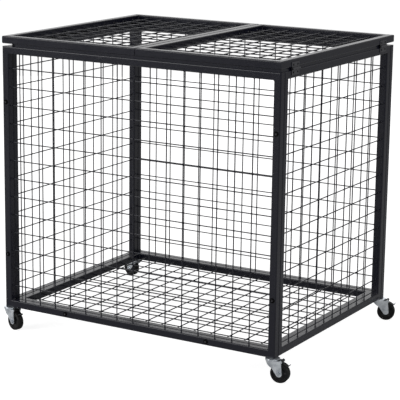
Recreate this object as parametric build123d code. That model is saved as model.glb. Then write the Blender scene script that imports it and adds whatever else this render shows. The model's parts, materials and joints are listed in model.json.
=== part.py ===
from build123d import *
import os

# Rolling lidded cage of welded square tube and square wire mesh, in millimetres.
# +X is the long side's direction, to the right seen from the front.
# +Y is the depth, to the back.
# +Z is up, with the floor at Z = 0 and the origin under the middle of the cage.

# Cage
LENGTH = 840
WIDTH = 655
WALL_HEIGHT = 720
TUBE = 20
TUBE_WALL = 1.2
TUBE_CORNER = 3

# Welded mesh
WIRE = 3
MESH_PITCH = 50
MESH_LEAST_MARGIN = 28
LONG_MESH_SHIFT = -8
SHORT_MESH_SHIFT = 13

# Lids and the strips that carry them
LID_GAP = 7
LID_SEAM = 1.5
REST_THICKNESS = 3
REST_OPEN_INSET = 40
REST_JOINT_GAP = 0.5

# Bolts that join the panels
BOLT_RADIUS = 3
BOLT_HEAD_RADIUS = 6.5
BOLT_HEAD_TOP_RADIUS = 4
BOLT_HEAD_HEIGHT = 3.5
BOLT_HOLE_CLEARANCE = 0.25
BOLT_END_INSET = 150
FLOOR_BOLT_INSET = 200
INSERT_FLATS = 9
INSERT_LENGTH = 13
INSERT_THREAD_CLEARANCE = 0.02
BOLT_POINT_INSET = 1
HEX_SIDES = 6

# Lid hinges
HINGE_INSET = 72
HINGE_LENGTH = 38
HINGE_LEAF_WIDTH = 16
HINGE_LEAF = 1.5
HINGE_KNUCKLE_RADIUS = 2.75
HINGE_PIN_RADIUS = 1.5
HINGE_PIN_CLEARANCE = 0.05
HINGE_KNUCKLE_GAP = 0.3
HINGE_LID_KNUCKLE = 14
HINGE_PIN_OVERHANG = 0.8

# Casters
WHEEL_RADIUS = 25
WHEEL_WIDTH = 18
WHEEL_CHAMFER = 1.5
WHEEL_RIM = 6
WHEEL_RECESS = 3
HUB_RADIUS = 8
HUB_WIDTH = 20
TRAIL = 21
AXLE_RADIUS = 3
AXLE_CLEARANCE = 0.05
AXLE_HEAD_FLATS = 8
AXLE_HEAD_HEIGHT = 2.5
FORK_SHEET = 2
FORK_SIDE_GAP = 0.5
FORK_TOP_CLEARANCE = 5.5
FORK_DISC_RADIUS = 18
FORK_TIP_RADIUS = 8
FORK_SKIRT_DEPTH = 19.5
FORK_SKIRT_CUT_FRONT = -14
FORK_SKIRT_CUT_DEPTH = 9
FORK_LEG_FRONT = 2
FORK_LEG_REAR = 26
FORK_PRESS_DEPTH = 0.7
FORK_PRESS_TIP_RADIUS = 5.2
FORK_PRESS_TOP_RADIUS = 4
FORK_PRESS_TOP_X = 17
FORK_PRESS_TOP_DEPTH = 7
STEM_RADIUS = 5
STEM_LENGTH = 15
STEM_CLEARANCE = 0.05
SOCKET_FLATS = 14
SOCKET_LENGTH = 16
KINGPIN_RADIUS = 4
KINGPIN_CLEARANCE = 0.05
KINGPIN_HEAD_RADIUS = 6.5
KINGPIN_HEAD_HEIGHT = 1.2
RACE_RADIUS = 19
RACE_HEIGHT = 5.5
RACE_SHEET = 1.4
RACE_GAP = 0.4
RACE_SHOULDER_RADIUS = 12

# Brake pedals
PEDAL_CLEARANCE = 1.4
PEDAL_SHEET = 1.8
PEDAL_WIDTH = 17
PEDAL_START_DEG = 79
PEDAL_END_DEG = 45
PEDAL_TOE_LENGTH = 7.5
PEDAL_TOE_DEG = 35
PEDAL_PIVOT_X = 25
PEDAL_PIVOT_DEPTH = 1.5
PEDAL_HEEL_RADIUS = 3.6
PEDAL_PIN_RADIUS = 1.5
PEDAL_PIN_CLEARANCE = 0.05
PEDAL_EAR_RADIUS = 3.8
PEDAL_PIN_HEAD = 1

# Direction in which each caster's wheel trails at rest, in degrees from +X,
# and the corner of the cage that it stands under, as signs along X and Y
CASTER_TURN = {
    "front_left": -16,
    "front_right": 8,
    "back_left": 168,
    "back_right": 20,
}
CASTER_SIDE = {
    "front_left": (-1, -1),
    "front_right": (1, -1),
    "back_left": (-1, 1),
    "back_right": (1, 1),
}

# Worked out from the sizes above
FORK_WEB_BOTTOM = 2 * WHEEL_RADIUS + FORK_TOP_CLEARANCE
FORK_WEB_TOP = FORK_WEB_BOTTOM + FORK_SHEET
FORK_INSIDE = HUB_WIDTH / 2 + FORK_SIDE_GAP
FORK_OUTSIDE = FORK_INSIDE + FORK_SHEET
CASTER_HEIGHT = FORK_WEB_TOP + RACE_HEIGHT
AXLE_SEAT = FORK_OUTSIDE - FORK_PRESS_DEPTH
PEDAL_PIVOT_Z = FORK_WEB_TOP - PEDAL_PIVOT_DEPTH
WALL_BOTTOM = CASTER_HEIGHT
WALL_TOP = WALL_BOTTOM + WALL_HEIGHT
WALL_MIDDLE = (WALL_BOTTOM + WALL_TOP) / 2
SIDE_LENGTH = WIDTH - 2 * TUBE
FLOOR_LENGTH = LENGTH - 2 * TUBE
LID_LENGTH = (LENGTH - LID_SEAM) / 2
LID_BOTTOM = WALL_TOP + LID_GAP
POST_X = (LENGTH - TUBE) / 2
POST_Y = (WIDTH - TUBE) / 2
HINGE_X = LENGTH / 2 + HINGE_KNUCKLE_RADIUS
HINGE_Z = WALL_TOP + LID_GAP / 2
HINGE_Y = WIDTH / 2 - HINGE_INSET
CUT = 2 * TUBE

# The planes of the panels: x runs along the panel, y up it, z out of the cage
FRONT = Plane((0, -POST_Y, WALL_MIDDLE), x_dir=(1, 0, 0), z_dir=(0, -1, 0))
BACK = Plane((0, POST_Y, WALL_MIDDLE), x_dir=(-1, 0, 0), z_dir=(0, 1, 0))
RIGHT = Plane((POST_X, 0, WALL_MIDDLE), x_dir=(0, 1, 0), z_dir=(1, 0, 0))
LEFT = Plane((-POST_X, 0, WALL_MIDDLE), x_dir=(0, -1, 0), z_dir=(-1, 0, 0))
FLOOR = Plane((0, 0, WALL_BOTTOM + TUBE / 2))
LID_MIDDLE_X = (LENGTH + LID_SEAM) / 4
LID_MIDDLE_Z = LID_BOTTOM + TUBE / 2


def group(solids):
    """Join separate solids into one node."""
    return Compound(children=list(solids))


def square_hole(x, y, z):
    """A punched square hole for a bolt, right through a tube along its z."""
    side = 2 * (BOLT_RADIUS + BOLT_HOLE_CLEARANCE)
    return Pos(x, y, z) * Box(side, side, CUT)


def hexagon(flats):
    """A regular hexagon by the distance between its flats."""
    return RegularPolygon(flats / 2, HEX_SIDES, major_radius=False)


def mitred_tube(length):
    """A tube along x with its outer edge at y = 0 and both ends cut at 45 degrees."""
    outside = RectangleRounded(TUBE, TUBE, TUBE_CORNER)
    bore = TUBE - 2 * TUBE_WALL
    section = Plane.YZ * Pos(TUBE / 2, 0) * (outside - Rectangle(bore, bore))
    bar = extrude(section, length / 2, both=True)
    half = length / 2
    outline = Polyline(
        (-half, 0), (half, 0), (half - TUBE, TUBE), (TUBE - half, TUBE), close=True
    )
    return bar & extrude(make_face(outline), TUBE, both=True)


def tube_frame(width, height):
    """Four mitred tubes, bottom, right, top and left, round a middle at the origin."""
    tubes = []
    for turn in range(4):
        length, across = (width, height) if turn % 2 == 0 else (height, width)
        tubes.append(Rot(0, 0, 90 * turn) * Pos(0, -across / 2) * mitred_tube(length))
    return tubes


def wire_places(opening):
    """Places of the wires across an opening, spaced by the pitch about its middle."""
    gaps = int((opening - 2 * MESH_LEAST_MARGIN) / MESH_PITCH)
    return [(step - gaps / 2) * MESH_PITCH for step in range(gaps + 1)]


def wire(length):
    """A wire along x, of six faces, with two of them square to z."""
    section = Plane.YZ * hexagon(WIRE)
    return extrude(section, length / 2, both=True)


def wire_mesh(width, height, shift=0):
    """Welded mesh that ends at the tubes of a frame: upright wires over level ones."""
    across = width - 2 * TUBE
    up = height - 2 * TUBE
    upright = Pos(0, 0, WIRE / 2) * Rot(0, 0, 90) * wire(up)
    level = Pos(0, 0, -WIRE / 2) * wire(across)
    wires = [Pos(x + shift, 0) * upright for x in wire_places(across)]
    return wires + [Pos(0, y) * level for y in wire_places(up)]


def bolt(grip):
    """A button-headed bolt along -z, with the underside of its head at z = 0."""
    length = grip + INSERT_LENGTH - BOLT_POINT_INSET
    head = Cone(
        BOLT_HEAD_RADIUS,
        BOLT_HEAD_TOP_RADIUS,
        BOLT_HEAD_HEIGHT,
        align=(Align.CENTER, Align.CENTER, Align.MIN),
    )
    shank = Cylinder(BOLT_RADIUS, length, align=(Align.CENTER, Align.CENTER, Align.MAX))
    return head + shank


def insert(flats, bore_radius, length):
    """A six-sided threaded insert along -z, with its mouth at z = 0."""
    return extrude(hexagon(flats) - hexagon(2 * bore_radius), -length)


def bolt_places():
    """Heights of the bolts on a post, from the panel's middle."""
    height = WALL_HEIGHT / 2 - BOLT_END_INSET
    return [-height, height]


def long_panel_frame():
    """Front or back frame, with holes for the corner, floor and caster fastenings."""
    tubes = tube_frame(LENGTH, WALL_HEIGHT)
    rail_middle = (TUBE - WALL_HEIGHT) / 2
    floor_bolt_x = LENGTH / 2 - FLOOR_BOLT_INSET
    for x in (-floor_bolt_x, floor_bolt_x):
        tubes[0] -= square_hole(x, rail_middle, 0)
    for x in (-POST_X, POST_X):
        socket = extrude(hexagon(SOCKET_FLATS), CUT)
        tubes[0] -= Pos(x, -WALL_HEIGHT / 2 - CUT / 2) * Rot(-90, 0, 0) * socket
    for y in bolt_places():
        tubes[1] -= square_hole(POST_X, y, 0)
        tubes[3] -= square_hole(-POST_X, y, 0)
    return tubes


def insert_hole(reach):
    """A six-sided hole for a bolt's insert along z, through one wall only."""
    return extrude(hexagon(INSERT_FLATS), reach, both=True)


def side_panel_frame():
    """Left or right frame, with holes for the inserts of the corner bolts."""
    tubes = tube_frame(SIDE_LENGTH, WALL_HEIGHT)
    for y in bolt_places():
        hole = Rot(0, 90, 0) * insert_hole(TUBE / 2)
        tubes[1] -= Pos(SIDE_LENGTH / 2, y) * hole
        tubes[3] -= Pos(-SIDE_LENGTH / 2, y) * hole
    return tubes


def floor_frame():
    """Frame of the floor, inside the bottom rails, with holes for its inserts."""
    tubes = tube_frame(FLOOR_LENGTH, SIDE_LENGTH)
    floor_bolt_x = LENGTH / 2 - FLOOR_BOLT_INSET
    for x in (-floor_bolt_x, floor_bolt_x):
        hole = Rot(90, 0, 0) * insert_hole(TUBE / 2)
        tubes[0] -= Pos(x, -SIDE_LENGTH / 2) * hole
        tubes[2] -= Pos(x, SIDE_LENGTH / 2) * hole
    return tubes


def panel_fastenings(piece, xs, heights, depth):
    """Copies of a fastening through the front and back panels, at a depth from them."""
    solids = []
    for plane in (FRONT, BACK):
        for x in xs:
            for y in heights:
                solids.append(plane * Pos(x, y, depth) * piece)
    return solids


def rest_strip(side_length, joint_inset, joint_side):
    """A strip on edge on a top rail, under the lids, near the rail's outer face.

    It stops short of one corner of the cage, and on the joint's side it runs up to
    the next wall's strip.
    """
    length = side_length - REST_OPEN_INSET - joint_inset
    middle = joint_side * (REST_OPEN_INSET - joint_inset) / 2
    low_side = (Align.CENTER, Align.MIN, Align.MAX)
    strip = Box(length, LID_GAP, REST_THICKNESS, align=low_side)
    return Pos(middle, WALL_HEIGHT / 2, TUBE / 2 - TUBE_CORNER) * strip


def hinge_barrel(length, at):
    """A knuckle along y with the pin's bore, its middle at a distance along y."""
    ring = Circle(HINGE_KNUCKLE_RADIUS) - Circle(HINGE_PIN_RADIUS + HINGE_PIN_CLEARANCE)
    return Pos(0, at) * extrude(Plane.XZ * ring, length / 2, both=True)


def hinge_plate(length, at, side):
    """The flat of a leaf against the tube, above the pin if side is 1, below if -1."""
    gap = HINGE_PIN_RADIUS + HINGE_PIN_CLEARANCE
    low = (Align.MIN, Align.CENTER, Align.MIN)
    plate = Box(HINGE_LEAF, length, HINGE_LEAF_WIDTH - gap, align=low)
    plate = Pos(-HINGE_KNUCKLE_RADIUS, at, gap) * plate
    return plate if side > 0 else Rot(180, 0, 0) * plate


def hinge_lid_leaf():
    """The lid's leaf, with one knuckle in the middle."""
    room = HINGE_LID_KNUCKLE + 2 * HINGE_KNUCKLE_GAP
    leaf = hinge_plate(HINGE_LENGTH, 0, 1)
    for side in (-1, 1):
        end = (HINGE_LENGTH - room) / 2
        relief = Box(TUBE, end, 2 * (HINGE_KNUCKLE_RADIUS + HINGE_KNUCKLE_GAP))
        leaf -= Pos(0, side * (room + end) / 2) * relief
    return leaf + hinge_barrel(HINGE_LID_KNUCKLE, 0)


def hinge_wall_leaf():
    """The wall's leaf, with a knuckle at each end."""
    room = HINGE_LID_KNUCKLE + 2 * HINGE_KNUCKLE_GAP
    end = (HINGE_LENGTH - room) / 2
    leaf = hinge_plate(HINGE_LENGTH, 0, -1)
    relief = Box(TUBE, room, 2 * (HINGE_KNUCKLE_RADIUS + HINGE_KNUCKLE_GAP))
    leaf -= relief
    for side in (-1, 1):
        leaf += hinge_barrel(end, side * (room + end) / 2)
    return leaf


def hinge_pin():
    """The pin, which stands a little out of the knuckles at both ends."""
    length = HINGE_LENGTH + 2 * HINGE_PIN_OVERHANG
    return extrude(Plane.XZ * Circle(HINGE_PIN_RADIUS), length / 2, both=True)


def hinge_pieces(piece, side):
    """Both copies of a hinge piece on the left (-1) or right (1) side of the cage."""
    turned = piece if side > 0 else Rot(0, 0, 180) * piece
    return [Pos(side * HINGE_X, y, HINGE_Z) * turned for y in (-HINGE_Y, HINGE_Y)]


def post_place(name):
    """Place on the floor under the middle of the post that carries a caster."""
    side_x, side_y = CASTER_SIDE[name]
    return Pos(side_x * POST_X, side_y * POST_Y)


def caster_place(name):
    """Place of a caster's swivel axis on the floor, turned as its wheel trails."""
    return post_place(name) * Rot(0, 0, CASTER_TURN[name])


def caster_stem():
    """Stem and kingpin in one: it stands in the post and is riveted under the fork."""
    low = (Align.CENTER, Align.CENTER, Align.MIN)
    rivet_z = FORK_WEB_BOTTOM - KINGPIN_CLEARANCE - KINGPIN_HEAD_HEIGHT
    stem = Pos(0, 0, CASTER_HEIGHT) * Cylinder(STEM_RADIUS, STEM_LENGTH, align=low)
    pin_length = CASTER_HEIGHT - rivet_z
    stem += Pos(0, 0, rivet_z) * Cylinder(KINGPIN_RADIUS, pin_length, align=low)
    head = Cylinder(KINGPIN_HEAD_RADIUS, KINGPIN_HEAD_HEIGHT, align=low)
    return stem + Pos(0, 0, rivet_z) * head


def caster_race():
    """The fixed upper race: a dished cover between the post and the fork."""
    low = FORK_WEB_TOP + RACE_GAP
    profile = Polyline(
        (KINGPIN_RADIUS, CASTER_HEIGHT),
        (RACE_SHOULDER_RADIUS, CASTER_HEIGHT),
        (RACE_RADIUS, CASTER_HEIGHT - RACE_SHEET),
        (RACE_RADIUS, low),
        (RACE_RADIUS - RACE_SHEET, low),
        (RACE_RADIUS - RACE_SHEET, CASTER_HEIGHT - 2 * RACE_SHEET),
        (KINGPIN_RADIUS, CASTER_HEIGHT - 2 * RACE_SHEET),
        close=True,
    )
    return revolve(make_face(Plane.XZ * profile), Axis.Z)


def ball_ring():
    """The ring of bearing balls, as one ring, on the fork's disc under the race."""
    top = CASTER_HEIGHT - 2 * RACE_SHEET
    low = FORK_WEB_TOP + RACE_GAP
    ring = Circle(RACE_SHOULDER_RADIUS) - Circle(RACE_SHOULDER_RADIUS - top + low)
    return Pos(0, 0, low) * extrude(ring, top - low)


def skirt_cone(inset):
    """The fork's housing as a full cone, narrowed all round by an inset."""
    cone = Cone(
        FORK_OUTSIDE - inset,
        FORK_DISC_RADIUS - inset,
        FORK_SKIRT_DEPTH,
        align=(Align.CENTER, Align.CENTER, Align.MAX),
    )
    return Pos(0, 0, FORK_WEB_TOP) * cone


def fork_skirt():
    """Conical housing under the disc, cut on a slant in front and open to the wheel."""
    low_z = FORK_WEB_TOP - FORK_SKIRT_DEPTH
    side = Polyline(
        (FORK_SKIRT_CUT_FRONT - CUT, FORK_WEB_TOP),
        (FORK_SKIRT_CUT_FRONT, FORK_WEB_TOP - FORK_SKIRT_CUT_DEPTH),
        (FORK_LEG_FRONT, low_z),
        (CUT, low_z),
        (CUT, FORK_WEB_TOP),
        close=True,
    )
    shell = skirt_cone(0) - skirt_cone(FORK_SHEET)
    inward = (Align.MIN, Align.CENTER, Align.MAX)
    room = Pos(0, 0, FORK_WEB_BOTTOM) * Box(CUT, 2 * FORK_INSIDE, CUT, align=inward)
    return (shell & extrude(Plane.XZ * make_face(side), CUT, both=True)) - room


def leg_outline():
    """Side view of a fork leg, with its round end at the axle and the pedal's ear."""
    tip = Pos(TRAIL, WHEEL_RADIUS) * Circle(FORK_TIP_RADIUS)
    front = Line((0, FORK_WEB_TOP), (FORK_LEG_FRONT, FORK_WEB_TOP - FORK_SKIRT_DEPTH))
    top = Line((0, FORK_WEB_TOP), (FORK_LEG_REAR, FORK_WEB_TOP))
    ear = Pos(PEDAL_PIVOT_X, PEDAL_PIVOT_Z) * Circle(PEDAL_EAR_RADIUS)
    return make_hull(tip.edges() + front.edges() + top.edges()) + ear


def leg_pressing():
    """Outline of the hollow pressed into the outside of a leg, down to the axle."""
    tip = Pos(TRAIL, WHEEL_RADIUS) * Circle(FORK_PRESS_TIP_RADIUS)
    top_z = FORK_WEB_TOP - FORK_PRESS_TOP_DEPTH
    top = Pos(FORK_PRESS_TOP_X, top_z) * Circle(FORK_PRESS_TOP_RADIUS)
    return make_hull(tip.edges() + top.edges())


def fork():
    """Stamped fork: a disc, a conical housing and two tapered, pressed legs."""
    low = (Align.CENTER, Align.CENTER, Align.MIN)
    body = Pos(0, 0, FORK_WEB_BOTTOM) * Cylinder(FORK_DISC_RADIUS, FORK_SHEET, align=low)
    body += fork_skirt()
    for y in (-FORK_OUTSIDE, FORK_INSIDE):
        body += Pos(0, y) * extrude(Plane.XZ * leg_outline(), -FORK_SHEET)
    for side in (-1, 1):
        pressing = extrude(Plane.XZ * leg_pressing(), -side * CUT)
        body -= Pos(0, side * AXLE_SEAT) * pressing
    hole = KINGPIN_RADIUS + KINGPIN_CLEARANCE
    body -= Pos(0, 0, FORK_WEB_BOTTOM) * Cylinder(hole, CUT)
    body -= across(AXLE_RADIUS + AXLE_CLEARANCE, CUT, TRAIL, WHEEL_RADIUS)
    pin_hole = PEDAL_PIN_RADIUS + PEDAL_PIN_CLEARANCE
    return body - across(pin_hole, CUT, PEDAL_PIVOT_X, PEDAL_PIVOT_Z)


def across(radius, length, x, z):
    """A round bar across the fork, at a place in its side view."""
    return Pos(x, 0, z) * Rot(90, 0, 0) * Cylinder(radius, length)


def axle():
    """The axle bolt through both legs, with its six-sided head."""
    end = AXLE_SEAT + AXLE_HEAD_HEIGHT
    shank = across(AXLE_RADIUS, 2 * end, TRAIL, WHEEL_RADIUS)
    head = extrude(Plane.XZ * hexagon(AXLE_HEAD_FLATS), AXLE_HEAD_HEIGHT)
    return shank + Pos(TRAIL, -AXLE_SEAT, WHEEL_RADIUS) * head


def axle_nut():
    """The nut on the other end of the axle bolt."""
    nut = insert(AXLE_HEAD_FLATS, AXLE_RADIUS + AXLE_CLEARANCE, AXLE_HEAD_HEIGHT)
    return Pos(TRAIL, AXLE_SEAT, WHEEL_RADIUS) * Rot(90, 0, 0) * nut


def wheel():
    """Solid wheel with chamfered edges, a recessed web on both sides and a hub."""
    rim_radius = WHEEL_RADIUS - WHEEL_RIM
    half = WHEEL_WIDTH / 2
    bore = AXLE_RADIUS + AXLE_CLEARANCE
    side = [
        (WHEEL_RADIUS, half - WHEEL_CHAMFER),
        (WHEEL_RADIUS - WHEEL_CHAMFER, half),
        (rim_radius, half),
        (rim_radius, half - WHEEL_RECESS),
        (HUB_RADIUS, half - WHEEL_RECESS),
        (HUB_RADIUS, HUB_WIDTH / 2),
        (bore, HUB_WIDTH / 2),
    ]
    other = [(radius, -y) for radius, y in reversed(side)]
    profile = make_face(Polyline(*side, *other, close=True))
    solid = revolve(profile, Axis.Y)
    return Pos(TRAIL, 0, WHEEL_RADIUS) * solid


def pedal():
    """Brake pedal: a heel round its pin, a shoe over the wheel and a turned-up toe."""
    inner = WHEEL_RADIUS + PEDAL_CLEARANCE
    outer = inner + PEDAL_SHEET
    sweep_deg = PEDAL_START_DEG - PEDAL_END_DEG
    shoe = CenterArc((TRAIL, WHEEL_RADIUS), inner + PEDAL_SHEET / 2, PEDAL_END_DEG, sweep_deg)
    toe_start = shoe @ 0
    toe = PolarLine(toe_start, PEDAL_TOE_LENGTH, PEDAL_TOE_DEG)
    pivot = Vector(PEDAL_PIVOT_X, PEDAL_PIVOT_Z)
    arm = Line(shoe @ 1, pivot)
    strip = trace([shoe, toe, arm], PEDAL_SHEET)
    heel = Pos(pivot.X, pivot.Y) * Circle(PEDAL_HEEL_RADIUS)
    solid = extrude(Plane.XZ * (strip + heel), PEDAL_WIDTH / 2, both=True)
    room = across(inner, CUT, TRAIL, WHEEL_RADIUS)
    pin_hole = PEDAL_PIN_RADIUS + PEDAL_PIN_CLEARANCE
    return solid - room - across(pin_hole, CUT, PEDAL_PIVOT_X, PEDAL_PIVOT_Z)


def pedal_pin():
    """The pin across the fork's ears."""
    length = 2 * (FORK_OUTSIDE + PEDAL_PIN_HEAD)
    return across(PEDAL_PIN_RADIUS, length, PEDAL_PIVOT_X, PEDAL_PIVOT_Z)


def cage_nodes():
    """The walls and the floor with their mesh, and the strips under the lids."""
    planes = {"front": FRONT, "back": BACK, "left": LEFT, "right": RIGHT}
    long_strip = rest_strip(LENGTH, TUBE_CORNER, 1)
    side_strip = rest_strip(WIDTH, TUBE_CORNER + REST_THICKNESS + REST_JOINT_GAP, -1)
    nodes = {}
    for name, plane in planes.items():
        is_long = name in ("front", "back")
        length = LENGTH if is_long else SIDE_LENGTH
        frame = long_panel_frame() if is_long else side_panel_frame()
        shift = LONG_MESH_SHIFT if is_long else SHORT_MESH_SHIFT
        strip = long_strip if is_long else side_strip
        nodes[name + "_frame"] = [plane * tube for tube in frame]
        mesh = wire_mesh(length, WALL_HEIGHT, shift)
        nodes[name + "_mesh"] = [plane * piece for piece in mesh]
        nodes[name + "_lid_rest"] = [plane * strip]
    nodes["floor_frame"] = [FLOOR * tube for tube in floor_frame()]
    nodes["floor_mesh"] = [FLOOR * w for w in wire_mesh(FLOOR_LENGTH, SIDE_LENGTH)]
    return nodes


def fastening_nodes():
    """Bolts and their inserts at the corners and along the floor."""
    corner_xs = (-POST_X, POST_X)
    floor_bolt_x = LENGTH / 2 - FLOOR_BOLT_INSET
    floor_xs = (-floor_bolt_x, floor_bolt_x)
    rail = [(TUBE - WALL_HEIGHT) / 2]
    face = TUBE / 2
    threaded = insert(INSERT_FLATS, BOLT_RADIUS + INSERT_THREAD_CLEARANCE, INSERT_LENGTH)
    button = bolt(TUBE)
    return {
        "corner_bolts": panel_fastenings(button, corner_xs, bolt_places(), face),
        "corner_inserts": panel_fastenings(threaded, corner_xs, bolt_places(), -face),
        "floor_bolts": panel_fastenings(button, floor_xs, rail, face),
        "floor_inserts": panel_fastenings(threaded, floor_xs, rail, -face),
    }


def lid_nodes():
    """Both lids with their mesh, and the hinges with their pins."""
    nodes = {}
    for name, side in (("left", -1), ("right", 1)):
        place = Pos(side * LID_MIDDLE_X, 0, LID_MIDDLE_Z)
        nodes[name + "_lid_frame"] = [place * t for t in tube_frame(LID_LENGTH, WIDTH)]
        nodes[name + "_lid_mesh"] = [place * w for w in wire_mesh(LID_LENGTH, WIDTH)]
        nodes[name + "_hinge_lid_leaves"] = hinge_pieces(hinge_lid_leaf(), side)
        nodes[name + "_hinge_wall_leaves"] = hinge_pieces(hinge_wall_leaf(), side)
        nodes[name + "_hinge_pins"] = hinge_pieces(hinge_pin(), side)
    return nodes


def caster_nodes():
    """The four casters: what stays with the cage, and each one's moving pieces."""
    socket_piece = insert(SOCKET_FLATS, STEM_RADIUS + STEM_CLEARANCE, -SOCKET_LENGTH)
    socket_piece = Pos(0, 0, CASTER_HEIGHT) * socket_piece
    fixed = {
        "caster_sockets": socket_piece,
        "caster_stems": caster_stem(),
        "caster_races": caster_race(),
        "caster_ball_rings": ball_ring(),
    }
    moving = {
        "fork": fork(),
        "axle": axle(),
        "axle_nut": axle_nut(),
        "wheel": wheel(),
        "brake_pedal": pedal(),
        "pedal_pin": pedal_pin(),
    }
    nodes = {}
    for name, piece in fixed.items():
        nodes[name] = [post_place(caster) * piece for caster in CASTER_SIDE]
    for caster in CASTER_TURN:
        for name, piece in moving.items():
            nodes[f"{caster}_{name}"] = [caster_place(caster) * piece]
    return nodes


def main():
    """Build every node and write one STEP file for each."""
    os.makedirs("parts", exist_ok=True)
    nodes = {**cage_nodes(), **fastening_nodes(), **lid_nodes(), **caster_nodes()}
    for name, solids in nodes.items():
        shape = solids[0] if len(solids) == 1 else group(solids)
        export_step(shape, f"parts/{name}.step")


main()
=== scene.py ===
import json
import logging
import math
from dataclasses import dataclass
from enum import Enum
from typing import Sequence, Union

import bmesh
import bpy
import numpy as np
from mathutils import Matrix, Vector


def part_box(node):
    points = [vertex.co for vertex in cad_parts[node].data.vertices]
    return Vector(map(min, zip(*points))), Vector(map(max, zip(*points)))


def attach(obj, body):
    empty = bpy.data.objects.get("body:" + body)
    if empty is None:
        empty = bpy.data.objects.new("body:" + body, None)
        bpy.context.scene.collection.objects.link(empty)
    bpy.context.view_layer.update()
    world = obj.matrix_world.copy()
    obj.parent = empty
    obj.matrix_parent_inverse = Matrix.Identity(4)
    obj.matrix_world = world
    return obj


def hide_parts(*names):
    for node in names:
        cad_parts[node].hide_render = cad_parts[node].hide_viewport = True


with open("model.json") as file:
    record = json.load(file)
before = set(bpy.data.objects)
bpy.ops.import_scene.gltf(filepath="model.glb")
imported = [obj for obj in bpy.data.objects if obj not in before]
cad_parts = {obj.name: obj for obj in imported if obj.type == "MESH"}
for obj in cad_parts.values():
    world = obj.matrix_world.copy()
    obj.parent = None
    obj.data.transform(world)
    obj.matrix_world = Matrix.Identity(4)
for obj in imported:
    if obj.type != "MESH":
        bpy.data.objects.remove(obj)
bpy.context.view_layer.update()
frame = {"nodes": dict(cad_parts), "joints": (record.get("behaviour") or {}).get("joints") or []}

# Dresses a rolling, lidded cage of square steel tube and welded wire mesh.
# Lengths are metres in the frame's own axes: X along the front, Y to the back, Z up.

LOG = logging.getLogger("cage")
MILLIMETRE = 0.001
PICTURE_PIXELS = 400.0
MERGE_DISTANCE = 0.0005 * MILLIMETRE
SOLID_MERGE_DISTANCE = 0.002 * MILLIMETRE
FLAT_DEG = 1.0
ROUNDED_DEG = 40.0
SHARP_DEG = 35.0
FINE_SHARP_DEG = 30.0
WHEEL_SHARP_DEG = 40.0

Array = np.ndarray
Colour = tuple[float, float, float]
Number = Union[float, "Signal"]


class Signal:
    """A node's output, on which arithmetic adds the Math nodes."""

    def __init__(self, graph: "Graph", socket: bpy.types.NodeSocket) -> None:
        """Wrap a socket.

        Args:
            graph: the material's graph that the socket is in.
            socket: the output socket.
        """
        self.graph = graph
        self.socket = socket

    def _math(self, operation: str, first: Number, second: Number) -> "Signal":
        """Return the Math node's output for an operation on two values."""
        settings = {"operation": operation}
        return self.graph.node("ShaderNodeMath", settings, {0: first, 1: second})

    def __add__(self, other: Number) -> "Signal":
        """Return self + other."""
        return self._math("ADD", self, other)

    def __radd__(self, other: Number) -> "Signal":
        """Return other + self."""
        return self._math("ADD", other, self)

    def __sub__(self, other: Number) -> "Signal":
        """Return self - other."""
        return self._math("SUBTRACT", self, other)

    def __rsub__(self, other: Number) -> "Signal":
        """Return other - self."""
        return self._math("SUBTRACT", other, self)

    def __mul__(self, other: Number) -> "Signal":
        """Return self * other."""
        return self._math("MULTIPLY", self, other)

    def __rmul__(self, other: Number) -> "Signal":
        """Return other * self."""
        return self._math("MULTIPLY", other, self)


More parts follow.
